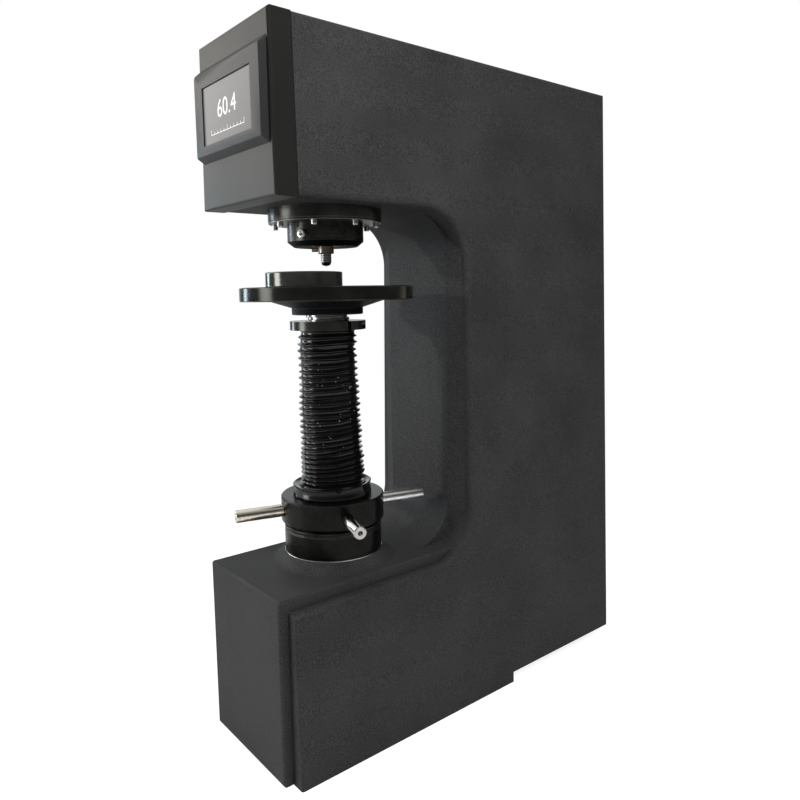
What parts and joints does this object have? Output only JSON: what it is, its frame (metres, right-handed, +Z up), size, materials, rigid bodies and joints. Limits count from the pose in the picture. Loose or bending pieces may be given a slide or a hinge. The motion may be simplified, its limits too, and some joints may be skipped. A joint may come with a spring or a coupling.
{
  "type": "rockwell hardness tester",
  "caption": "Bench Rockwell hardness tester: C-shaped casting with touch-screen head, motor-loaded indenter, round table on a bellows-covered lifting screw, and capstan handwheel.",
  "frame": {"origin": "centre of the bounding box on the bench, under the foot", "axes": "+Z up, -Y towards the operator and the screen, +X to the operator's right"},
  "size_m": [0.2248, 0.555, 0.8],
  "materials": {
    "painted_casting": "fine-textured charcoal powder coat",
    "painted_sheet": "charcoal powder coat",
    "satin_cover": "smooth satin grey",
    "satin_bezel": "satin moulded",
    "screen": "glossy panel",
    "scale_glass": "polished",
    "circuit_board": "solder mask",
    "blackened_steel": "blackened, finely turned",
    "ground_steel": "ground",
    "screw_steel": "bright plated",
    "polished_bar": "polished",
    "bronze": "turned",
    "plate_aluminium": "milled",
    "black_enamel": "black enamel",
    "black_plastic": "moulded",
    "black_rubber": "smooth",
    "dark_tip": "dark hardened"
  },
  "bodies": {
    "frame": {"casting": "painted_casting", "head_cover": "satin_cover", "head_cover_screws": "screw_steel", "display_bezel": "satin_bezel", "bezel_screws": "screw_steel", "display_glass": "screen", "display_board": "circuit_board", "load_flange": "blackened_steel", "retaining_plate": "blackened_steel", "flange_screws": "screw_steel", "nose_housing": "blackened_steel", "nose_set_screw": "screw_steel", "spindle_bush": "bronze", "guide_posts": "ground_steel", "bridge_plate": "plate_aluminium", "post_nuts": "screw_steel", "ball_screw_bearing": "ground_steel", "load_motor": "black_enamel", "motor_bracket": "plate_aluminium", "timing_belt": "black_rubber", "depth_reader": "black_enamel", "main_board": "circuit_board", "board_standoffs": "bronze", "power_supply": "plate_aluminium", "rear_cover": "painted_sheet", "rear_cover_screws": "screw_steel", "power_inlet": "black_plastic", "base_ring": "blackened_steel", "base_ring_screws": "screw_steel", "screw_guide_bush": "bronze", "guide_key": "ground_steel", "thrust_bearing": "ground_steel", "bellows": "black_rubber", "bellows_cuff": "black_rubber"},
    "handwheel": {"handwheel_hub": "blackened_steel", "lifting_nut": "bronze", "nut_screws": "screw_steel", "handle_bars": "polished_bar", "thrust_race_upper": "ground_steel"},
    "elevating_screw": {"lifting_screw": "ground_steel", "bellows_collar": "blackened_steel", "collar_screw": "screw_steel", "table": "blackened_steel", "table_set_screw": "screw_steel", "round_block": "blackened_steel"},
    "load_spindle": {"spindle": "ground_steel", "chuck": "ground_steel", "chuck_screw": "screw_steel", "indenter": "ground_steel", "ball_tip": "dark_tip", "load_cell": "ground_steel", "crosshead": "plate_aluminium", "ball_nut": "ground_steel", "glass_scale": "scale_glass"},
    "ball_screw_and_pulley": {"ball_screw": "ground_steel", "driven_pulley": "plate_aluminium"},
    "motor_shaft": {"motor_pulley": "plate_aluminium"},
    "power_rocker": {"power_switch": "black_plastic"}
  },
  "joints": [
    {"name": "handwheel_turn", "type": "hinge", "parent": "frame", "child": "handwheel", "pos_m": [0, -0.1535, 0.2683], "axis": [0, 0, 1], "range_deg": [-210, 6900]},
    {"name": "table_lift", "type": "slide", "parent": "frame", "child": "elevating_screw", "axis": [0, 0, 1], "range_m": [-0.1151, 0.0036], "deforming": ["bellows"]},
    {"name": "ball_screw_turn", "type": "hinge", "parent": "frame", "child": "ball_screw_and_pulley", "pos_m": [0, -0.1535, 0.758], "axis": [0, 0, 1], "range_deg": [0, 226]},
    {"name": "spindle_press", "type": "slide", "parent": "frame", "child": "load_spindle", "axis": [0, 0, -1], "range_m": [0, 0.0025]},
    {"name": "motor_turn", "type": "hinge", "parent": "frame", "child": "motor_shaft", "pos_m": [0, -0.0475, 0.758], "axis": [0, 0, 1], "range_deg": [0, 678]},
    {"name": "power_switch_rock", "type": "hinge", "parent": "frame", "child": "power_rocker", "pos_m": [0.042, 0.2731, 0.1085], "axis": [-1, 0, 0], "range_deg": [0, 18]}
  ],
  "couplings": [
    {"joint": "table_lift", "follows": "handwheel_turn", "m_per_rad": -0.00095493},
    {"joint": "ball_screw_turn", "follows": "spindle_press", "rad_per_m": 1570.8},
    {"joint": "motor_turn", "follows": "spindle_press", "rad_per_m": 4712.4}
  ]
}
